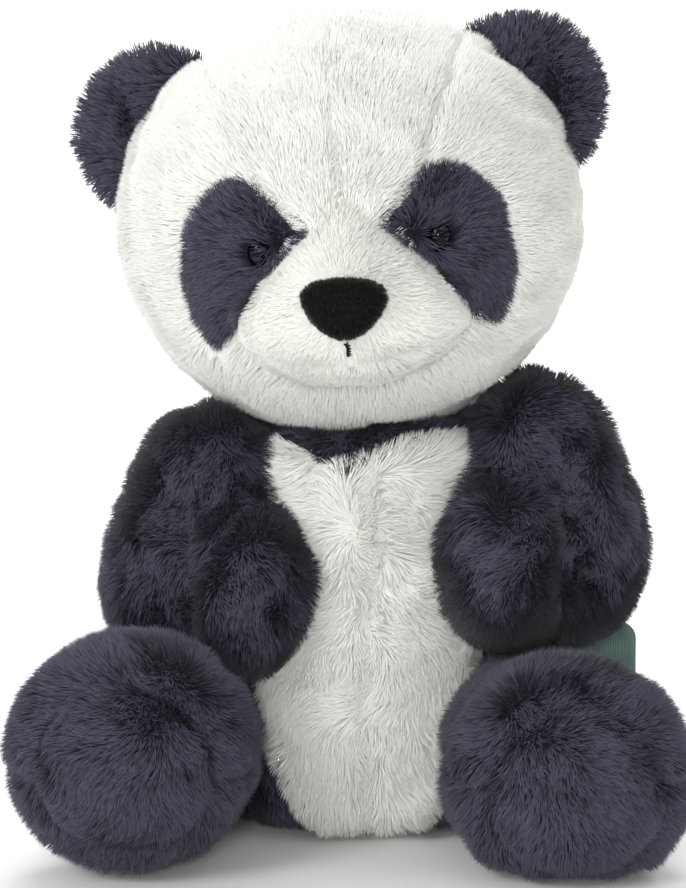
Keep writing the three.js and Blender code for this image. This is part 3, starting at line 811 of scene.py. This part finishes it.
def cloth_material(name, dark, light, scale=900.0):
    """A knitted backing or lining cloth: fine grain, a little colour change."""
    material, tree, shader = new_material(name, 0.95, specular=0.15, sheen=0.1)
    colour = ramp_colour(tree, grain(tree, scale, detail=3.0), [(0.3, dark), (0.7, light)])
    tree.links.new(colour, shader.inputs["Base Color"])
    return material


def moulded_material(name, dark, light):
    """Glossy moulded plastic: a faint mottle in its colour and its polish."""
    material, tree, shader = new_material(name, 0.08, specular=0.13)
    mottle = grain(tree, 700.0)
    colour = ramp_colour(tree, mottle, [(0.35, dark), (0.65, light)])
    tree.links.new(colour, shader.inputs["Base Color"])
    tree.links.new(spread(tree, mottle, 0.06, 0.12), shader.inputs["Roughness"])
    return material


def ribbon_material(name, dark, light):
    """Woven ribbon with fine upright ribs and a little wear."""
    material, tree, shader = new_material(name, 0.75, specular=0.25, sheen=0.15)
    place = add_node(tree, "TexCoord", {}).outputs["Object"]
    sockets = {"Vector": place, "Scale": 620.0, "Distortion": 0.6, "Detail": 1.0}
    ribs = add_node(tree, "TexWave", sockets, bands_direction="X").outputs["Fac"]
    wear = spread(tree, grain(tree, 260.0, detail=4.0), 0.7, 1.15)
    colour = ramp_colour(tree, ribs, [(0.0, dark), (0.8, light)])
    tree.links.new(scaled(tree, colour, wear), shader.inputs["Base Color"])
    sockets = {"Height": ribs, "Strength": 0.6, "Distance": 0.0002}
    bump = add_node(tree, "Bump", sockets).outputs["Normal"]
    tree.links.new(bump, shader.inputs["Normal"])
    return material


# Painted light: the white pile is painted lighter at the root than at the tip, a painted fill that
# lightens the shade falling between the strands.
WHITE = pile_material(
    "white_pile", [(0.0, (252, 253, 248)), (0.4, (248, 249, 243)), (1.0, (238, 240, 233))], 0.02)
# Painted light: the snout pile is also painted lighter at the root than at the tip, lightening the
# shade between the strands.
SNOUT = pile_material(
    "snout_pile", [(0.0, (252, 252, 245)), (0.4, (248, 248, 241)), (1.0, (240, 240, 233))], 0.02)
NAVY = pile_material(
    "navy_pile", [(0.0, (31, 31, 40)), (0.5, (57, 57, 69)), (1.0, (90, 90, 106))], 0.2)
NOSE_PILE = pile_material(
    "nose_pile", [(0.0, (10, 10, 10)), (0.6, (22, 22, 21)), (1.0, (38, 38, 36))], 0.3)
WHITE_CLOTH = cloth_material("white_backing", (236, 238, 231), (248, 249, 243))
NAVY_CLOTH = cloth_material("navy_backing", (26, 26, 32), (38, 38, 46))
POUCH_CLOTH = cloth_material("pouch_cotton", (214, 210, 196), (236, 233, 222), scale=1400.0)
NOSE_CLOTH = cloth_material("nose_backing", (8, 8, 8), (18, 18, 17))
THREAD = cloth_material("black_thread", (14, 14, 15), (30, 30, 31), scale=2500.0)
EYE_GLOSS = moulded_material("eye_gloss", (4, 4, 5), (10, 10, 12))
LABEL_RIBBON = ribbon_material("label_ribbon", (70, 90, 85), (104, 128, 121))

PILES = {
    "nose": Pile(NOSE_PILE, 1.5, 30, 0.2, 9.0, 0.9, 0.4, stray=0.5, uneven=0.15, swirl=2.0),
    "white": Pile(WHITE, 5.2, 44, 0.24, 5.6, 1.1, 0.12, stray=0.14, uneven=0.05, swirl=0.25,
                  facing=0.06, jitter=0.03),
    "belly": Pile(WHITE, 8.2, 42, 0.25, 5.0, 2.2, 0.28, stray=0.2, uneven=0.08, swirl=0.5,
                  facing=0.1, jitter=0.04),
    "snout": Pile(SNOUT, 3.2, 50, 0.22, 6.4, 1.0, 0.1, stray=0.12, uneven=0.05, swirl=0.2,
                  facing=0.06, jitter=0.03),
    "navy": Pile(NAVY, 6.0, 40, 0.24, 5.0, 1.1, 0.24, stray=0.22, uneven=0.08, swirl=0.5),
    "patch": Pile(NAVY, 6.0, 44, 0.21, 5.6, 1.1, 0.22, swirl=0.3, facing=0.15),
    "ear": Pile(NAVY, 5.8, 34, 0.25, 5.2, 1.5, 0.4, swirl=0.4),
}


PILE_OF_PANEL = [
    ("muzzle", "snout"), (("forehead", "cheek", "head_back"), "white"), ("belly", "belly"),
    ("eye_patch", "patch"), ("ear", "ear"),
]


# ---- Panels: which panel a root belongs to, and which way its pile is combed -------------------
def head_panels(points):
    local = in_head(points)
    inside_snout = muzzle_distance(points) < 1.2
    patch = patch_distance(points) < 0
    inward = outside_ear_seam(local) < 0
    right = local[:, 0] > 0
    back = local[:, 1] > HEAD_BACK_Y
    chin = above_chin(local) < 0
    names = np.full(len(points), "cheek_left", dtype="U16")
    names[right] = "cheek_right"
    names[inward & ~right] = "forehead_left"
    names[inward & right] = "forehead_right"
    names[back & ~right] = "head_back_left"
    names[back & right] = "head_back_right"
    names[inside_snout] = "muzzle_top"
    names[inside_snout & chin] = "muzzle_chin"
    names[patch & ~right] = "eye_patch_left"
    names[patch & right] = "eye_patch_right"
    return names


def torso_panels(points):
    right = points[:, 0] > BIB_MIDDLE
    back = points[:, 1] > TORSO_AXIS_Y + 8.0
    bib = bib_distance(points) < 0
    names = np.full(len(points), "side_left", dtype="U16")
    names[right] = "side_right"
    names[back & ~right] = "back_left"
    names[back & right] = "back_right"
    names[points[:, 2] > YOKE_Z] = "shoulder_yoke"
    names[bib & ~right] = "belly_left"
    names[bib & right] = "belly_right"
    names[points[:, 2] < 4.0] = "seat_panel"
    return names


def limb_panels(body):
    kind, side_name = body.split("_")
    side = SIDE[side_name]
    if kind == "arm":
        seam = SHOULDER[side_name][0] + side * 9.0

        def panels(points):
            outer = (points[:, 0] - seam) * side > 0
            return np.where(outer, f"arm_outer_{side_name}", f"arm_inner_{side_name}")
    elif kind == "leg":
        hip = HIP[side_name]

        def panels(points):
            above = points[:, 2] > hip[2]
            names = np.where(above, f"leg_top_{side_name}", f"leg_under_{side_name}")
            return np.where(points[:, 1] < hip[1] + SOLE_SEAM_Y, f"sole_{side_name}", names)
    else:
        def panels(points):
            front = in_head(points)[:, 1] < 6.5
            return np.where(front, f"ear_front_{side_name}", f"ear_back_{side_name}")
    return panels


def away_from(place):
    place = np.asarray(place, float)
    return lambda points, names: unit(points - place)


def head_comb(points, names):
    comb = unit(points - from_head([-0.8, -60, -15])) + np.array([0, 0, -0.15])
    for name, side in SIDE.items():
        mine = names == f"eye_patch_{name}"
        comb[mine] = unit(points[mine] - from_head([side * 21, -52, -2]))
    return comb


def torso_comb(points, names):
    low = np.tile([0.0, -0.1, -1.0], (len(points), 1))
    heart = np.array([BIB_MIDDLE, TORSO_AXIS_Y - 40, 84.0])
    belly = np.char.startswith(names, "belly")
    low[belly] = unit(points[belly] - heart) + np.array([0, 0, -0.25])
    yoke = names == "shoulder_yoke"
    low[yoke] = unit(points[yoke] - (NECK + [0, 0, 20]))
    return low


def arm_comb(name):
    side, shoulder = SIDE[name], SHOULDER[name]
    hand = shoulder + mirrored(np.array([-4.0, -52.0, -30.0]), side)

    def comb(points, names):
        down = unit(points - (shoulder + [0, 10, 40]))
        forward = unit(hand - points)
        share = np.clip((shoulder[1] - points[:, 1]) / 50, 0, 1)[:, None] * 0.5
        return down * (1 - share) + forward * share
    return comb


def leg_comb(name):
    side, hip = SIDE[name], HIP[name]
    crown = hip + mirrored(np.array([-2.0, -66.0, 30.0]), side)
    fan = away_from(crown)
    return lambda points, names: fan(points, names) + np.array([side * 0.25, 0.1, -0.35])


COMBS = {"head": head_comb, "torso": torso_comb}
PANELS = {"head": head_panels, "torso": torso_panels}
for side_name in SIDE:
    COMBS[f"arm_{side_name}"] = arm_comb(side_name)
    COMBS[f"leg_{side_name}"] = leg_comb(side_name)
    ear = SHAPES[f"ear_{side_name}"]
    COMBS[f"ear_{side_name}"] = away_from(ear.pivot - ear.direction * 12)
    for kind in ("arm", "leg", "ear"):
        PANELS[f"{kind}_{side_name}"] = limb_panels(f"{kind}_{side_name}")


def pile_for(panel):
    for starts, kind in PILE_OF_PANEL:
        if panel.startswith(starts):
            return PILES[kind]
    return PILES["navy"]


def slot_for(panel):
    pale = pile_for(panel).material in (WHITE, SNOUT)
    return "white_plush" if pale else "navy_plush"


# ---- Covering the bodies -----------------------------------------------------------------------
FILLINGS = {"head": ["head_filling", "muzzle_filling"], "torso": ["body_filling"]}
NEIGHBOURS = {
    "head": ["torso", "ear_left", "ear_right", "arm_left", "arm_right"],
    "torso": ["head", "arm_left", "arm_right", "leg_left", "leg_right"],
}
for side_name in SIDE:
    FILLINGS[f"arm_{side_name}"] = [f"arm_filling_{side_name}"]
    FILLINGS[f"leg_{side_name}"] = [f"leg_filling_{side_name}"]
    NEIGHBOURS[f"ear_{side_name}"] = ["head"]
    NEIGHBOURS[f"arm_{side_name}"] = ["torso", "head", f"leg_{side_name}"]
    NEIGHBOURS[f"leg_{side_name}"] = ["torso", f"arm_{side_name}"]
PRESS_REACH = 4.0                 # how far above its root a strand feels a neighbour
DEEP = -5.0                       # roots further inside a neighbour than this never show
FEWEST_STRANDS = 20


def room_for_pile(body, points, outward):
    """From 0, pressed by a neighbour or the floor, to 1, free; and whether a root may show."""
    above = points + outward * PRESS_REACH
    nearest = np.full(len(points), FAR)
    buried = np.zeros(len(points), bool)
    for other in NEIGHBOURS[body]:
        nearest = np.minimum(nearest, SHAPES[other].field(above))
        buried |= SHAPES[other].field(points) < DEEP
    nearest = np.minimum(nearest, above[:, 2])
    return np.clip((nearest + 1.0) / 5.0, 0, 1), ~buried


def seam_room(body, points):
    """From 0 at a seam to 1 away from it."""
    shape = SHAPES[body]
    sunk = np.zeros(len(points))
    for groove in shape.grooves[:3]:
        sunk = np.maximum(sunk, groove.sink(points) / max(groove.depth, 1e-6))
    return 1 - np.clip(sunk, 0, 1)


def bare(body, points):
    """Where no pile grows: under the eyes, the nose and the mouth stitch."""
    if body != "head":
        return np.zeros(len(points), bool)
    local = in_head(points)
    eye_x = np.where(local[:, 0] > 0, EYE_X["right"], -EYE_X["left"])
    eye = np.hypot((local[:, 0] - eye_x) / 2.6, (local[:, 2] - EYE_Z) / 3.6) < 1
    front = local[:, 1] < -30
    nose = nose_field(points + HEAD.outward(points) * 2.0) < 0.3
    below_nose = MOUTH_TOP - local[:, 2]
    stitch = (np.abs(local[:, 0] - MOUTH_X - 0.5) < 1.1) & (below_nose > -1) & (below_nose < 6)
    return front & (eye | nose | stitch)


def skin_piece(body, skin):
    """The backing cloth as a piece, pale or dark by panel."""
    piece = quad_piece(f"{body}_skin", skin.points, skin.quads, WHITE_CLOTH)
    piece.data.materials.append(NAVY_CLOTH)
    panels = PANELS[body](skin.points[skin.quads].mean(axis=1))
    dark = {panel: slot_for(panel) == "navy_plush" for panel in set(panels)}
    indices = np.array([dark[panel] for panel in panels], np.int32)
    piece.data.polygons.foreach_set("material_index", indices)
    piece.data.update()
    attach(piece, body)
    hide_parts(*FILLINGS.get(body, ()))


def cover_body(body, order):
    """The skin of a body and the pile of each of its panels."""
    skin = Skin(SHAPES[body])
    skin_piece(body, skin)
    rng = np.random.default_rng(SEED + order)
    densest = max(PILES[kind].density for kind in PILES if kind != "nose")
    points = skin.scatter(densest * DENSITY_SHARE, rng)
    points = SHAPES[body].settle(points, rounds=2)
    outward = SHAPES[body].outward(points)
    names = PANELS[body](points)
    share = np.array([pile_for(name).density / densest for name in names])
    crowding, shown = room_for_pile(body, points, outward)
    kept = shown & (rng.random(len(points)) < share) & ~bare(body, points)
    seam = seam_room(body, points)
    comb = COMBS[body](points, names)
    for panel in sorted(set(names)):
        mine = kept & (names == panel)
        if mine.sum() < FEWEST_STRANDS:
            continue
        pile = pile_for(panel)
        piece = grow(f"{panel}_pile", points[mine], outward[mine], comb[mine], pile,
                     crowding[mine], seam[mine], rng)
        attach(piece, body)
        if panel in frame["nodes"]:
            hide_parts(panel)


# ---- Neck, pouch, label, nose, mouth and eyes ------------------------------------------------
def stuffed_ball(name, body, centre, radii, cloth, node):
    """A plain stuffed shape inside the toy, standing for one CAD node."""
    lobe = Lobe(centre, radii)
    skin = Skin(Shape(lobes_field([lobe], 1.0), [lobe]))
    piece = quad_piece(name, skin.points, skin.quads, cloth)
    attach(piece, body)
    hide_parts(node)
    return piece


def inner_pieces():
    """The plug of filling in the neck, in the dark cloth, and the weighted pouch in the seat."""
    neck = stuffed_ball("neck_cloth", "neck", NECK + [0, 0, -2], [19, 19, 17], NAVY_CLOTH,
                        "neck_filling")
    low, high = (np.array(corner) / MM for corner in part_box("pellet_bag"))
    stuffed_ball("pellet_pouch", "torso", (low + high) / 2, (high - low) / 2 + SKIN_INSET,
                 POUCH_CLOTH, "pellet_bag")


LABEL_CORNER = 5.0
LABEL_THICK = 0.45
LABEL_ROOT = 9.0                    # how far the ribbon runs on into the seam


def label_piece():
    """The woven side label: a flat folded ribbon with rounded outer corners and a soft edge."""
    low, high = (np.array(corner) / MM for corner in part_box("side_label"))
    root = low[0] - LABEL_ROOT
    centre_y = (low[1] + high[1]) / 2
    turns = np.linspace(0, math.pi / 2, 7)
    upper = [[high[0] - LABEL_CORNER + LABEL_CORNER * math.sin(a),
              high[2] - LABEL_CORNER + LABEL_CORNER * math.cos(a)] for a in turns]
    lower = [[x, low[2] + high[2] - z] for x, z in reversed(upper)]
    outline = np.array([[root, high[2]]] + upper + lower + [[root, low[2]]])
    inner = np.array([root + high[0], low[2] + high[2]]) / 2
    rings = [(0.0, 1.0), (0.9, 1.0), (1.0, 0.0), (0.9, -1.0), (0.0, -1.0)]
    points = []
    for share, thick in rings:
        flat = inner + (outline - inner) * share
        bend = 0.8 * ((flat[:, 0] - root) / (high[0] - root)) ** 2
        points.append(np.stack([flat[:, 0], centre_y + bend - thick * LABEL_THICK, flat[:, 1]],
                               axis=1))
    quads = ring_quads(len(rings), len(outline))
    piece = quad_piece("woven_label", np.concatenate(points), quads, LABEL_RIBBON)
    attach(piece, "torso")
    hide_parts("side_label")


NOSE_OUTLINE = Outline([
    [0, 7.0], [6.0, 6.5], [10.0, 4.5], [10.5, 1.8], [8.2, -2.7], [4.2, -6.4], [0, -7.6],
    [-4.2, -6.4], [-8.2, -2.7], [-10.5, 1.8], [-10.0, 4.5], [-6.0, 6.5],
])
NOSE_CENTRE = np.array([-0.8, -69.0, -16.2])
NOSE_TURN = rotation(x=-14.0, y=4.5)
NOSE_THICK = 4.2
NOSE_ROUND = 3.4


def nose_field(points):
    local = (in_head(points) - NOSE_CENTRE) @ NOSE_TURN
    edge = NOSE_OUTLINE.distance(local[:, [0, 2]]) + NOSE_ROUND
    bulge = 1.2 * np.exp(-(local[:, 0] / 8) ** 2 - (local[:, 2] / 6) ** 2)
    face = np.abs(local[:, 1]) - NOSE_THICK - bulge + NOSE_ROUND
    outside = np.hypot(np.maximum(edge, 0), np.maximum(face, 0))
    return outside + np.minimum(np.maximum(edge, face), 0) - NOSE_ROUND


def nose_pieces():
    seed = Lobe(from_head(NOSE_CENTRE), [14.0, 8.0, 11.5], HEAD_TURN @ NOSE_TURN)
    shape = Shape(nose_field, [seed])
    skin = Skin(shape, voxel=0.8)
    pad = quad_piece("nose_pad", skin.points, skin.quads, NOSE_CLOTH)
    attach(pad, "head")
    rng = np.random.default_rng(SEED + 50)
    points = shape.settle(skin.scatter(PILES["nose"].density, rng), rounds=3)
    outward = shape.outward(points)
    front = in_head(points)[:, 1] < NOSE_CENTRE[1] + 4.0
    points, outward = points[front], outward[front]
    free = np.ones(len(points))
    comb = unit(rng.normal(size=points.shape))
    pile = grow("nose_pile", points, outward, comb, PILES["nose"], free, free, rng)
    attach(pile, "head")
    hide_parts("nose")


def mouth_piece():
    """A stitch of two-ply black thread lying in the pile under the nose."""
    steps, ply, thick = 40, 0.42, 0.34
    share = np.linspace(0, 1, steps)
    line = np.stack([0.4 * np.sin(share * 5.0) + 1.0 * share + MOUTH_X, np.full(steps, -78.0),
                     MOUTH_TOP - 8.6 * share], axis=1)
    line = HEAD.settle(from_head(line), rounds=14)
    outward = np.tile(HEAD_TURN @ unit(np.array([[0, -1.0, -0.35]]))[0], (steps, 1))
    along = unit(np.gradient(line, axis=0))
    side = unit(np.cross(along, outward))
    middle = line + outward * 4.0
    vertices, quads = [], []
    around = np.linspace(0, 2 * math.pi, 8, endpoint=False)
    for strand in (0.0, math.pi):
        turn = share * 5 * math.pi + strand
        centre = middle + ply * (side * np.cos(turn)[:, None] + outward * np.sin(turn)[:, None])
        start = len(vertices) * 8
        for place, s, o in zip(centre, side, outward):
            vertices.append(place + thick * (s * np.cos(around)[:, None]
                                             + o * np.sin(around)[:, None]))
        quads += ring_quads(steps, 8, start)
    piece = quad_piece("mouth_thread", np.concatenate(vertices), quads, THREAD)
    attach(piece, "head")
    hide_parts("mouth_stitch")


def eye_pieces():
    """Glossy moulded domes on their seats in the patches."""
    rings, around = 18, 32
    for name in SIDE:
        place, facing = eye_seat(name)
        across = unit(np.cross([[0, 0, 1.0]], facing[None]))[0]
        up = np.cross(facing, across)
        polar = np.linspace(0, math.pi, rings + 1)
        turn = np.linspace(0, 2 * math.pi, around, endpoint=False)
        rows = []
        for a in polar:
            for b in turn:
                rows.append(place + facing * (EYE_LIFT[name] + 3.0 * math.cos(a))
                            + across * 3.3 * math.sin(a) * math.cos(b)
                            + up * 4.3 * math.sin(a) * math.sin(b))
        quads = ring_quads(rings + 1, around, flipped=True)
        piece = quad_piece(f"eye_dome_{name}", np.array(rows), quads, EYE_GLOSS)
        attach(piece, "head")
        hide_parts(f"eye_{name}", f"eye_washer_{name}")


for order, body in enumerate(SHAPES):
    cover_body(body, order)
inner_pieces()
label_piece()
nose_pieces()
mouth_piece()
eye_pieces()


# ---- Camera, light and floor ---------------------------------------------------------------------
def look_at(piece, target):
    direction = Vector(target) - piece.location
    piece.rotation_euler = direction.to_track_quat("-Z", "Y").to_euler()


def make_camera():
    target = Vector((NECK[0] - 5.0, NECK[1] - 2.0, 106.0)) * MM
    distance, elevation = 1.25, math.radians(9.0)
    data = bpy.data.cameras.new("camera")
    data.lens = 179.0
    data.sensor_width = 36.0
    data.clip_start, data.clip_end = 0.1, 20.0
    camera = bpy.data.objects.new("camera", data)
    bpy.context.scene.collection.objects.link(camera)
    camera.location = target + Vector((0, -math.cos(elevation), math.sin(elevation))) * distance
    look_at(camera, target)
    bpy.context.scene.camera = camera


def area_light(name, place, target, size, power):
    data = bpy.data.lights.new(name, "AREA")
    data.shape = "DISK"
    data.size = size
    data.energy = power
    light = bpy.data.objects.new(name, data)
    bpy.context.scene.collection.objects.link(light)
    light.location = place
    look_at(light, target)


def make_stage():
    scene = bpy.context.scene
    scene.view_settings.view_transform = "Standard"
    world = bpy.data.worlds.new("studio")
    scene.world = world
    world.use_nodes = True
    background = world.node_tree.nodes["Background"]
    background.inputs["Color"].default_value = (1.0, 1.0, 1.0, 1.0)
    background.inputs["Strength"].default_value = 0.68
    middle = (0.0, 0.0, 0.11)
    area_light("key", (-1.0, -1.3, 0.95), middle, 0.7, 12.0)
    area_light("front", (-0.1, -1.7, 0.45), middle, 0.25, 9.0)
    area_light("top", (-0.2, 0.3, 1.5), middle, 0.9, 3.0)
    area_light("rear", (0.9, 1.5, 0.9), middle, 0.5, 8.0)
    area_light("backdrop", (0.0, 1.2, 2.2), (0.0, 3.0, 0.3), 1.8, 70.0)

    material, _, shader = new_material("floor_paper", 0.9, specular=0.1)
    shader.inputs["Base Color"].default_value = linear((246, 246, 246))
    reach, rise = 6.0, 2.5
    rows = [(y, 0.0) for y in (-reach, 0.0, 1.2)]
    rows += [(1.2 + rise * math.sin(a), rise * (1 - math.cos(a)))
             for a in np.linspace(0.1, math.pi / 2, 12)]
    points = np.array([[x, y, z] for y, z in rows for x in (-reach, reach)]) / MM
    quads = [[2 * i, 2 * i + 1, 2 * i + 3, 2 * i + 2] for i in range(len(rows) - 1)]
    quad_piece("floor", points, quads, material)


make_camera()
make_stage()
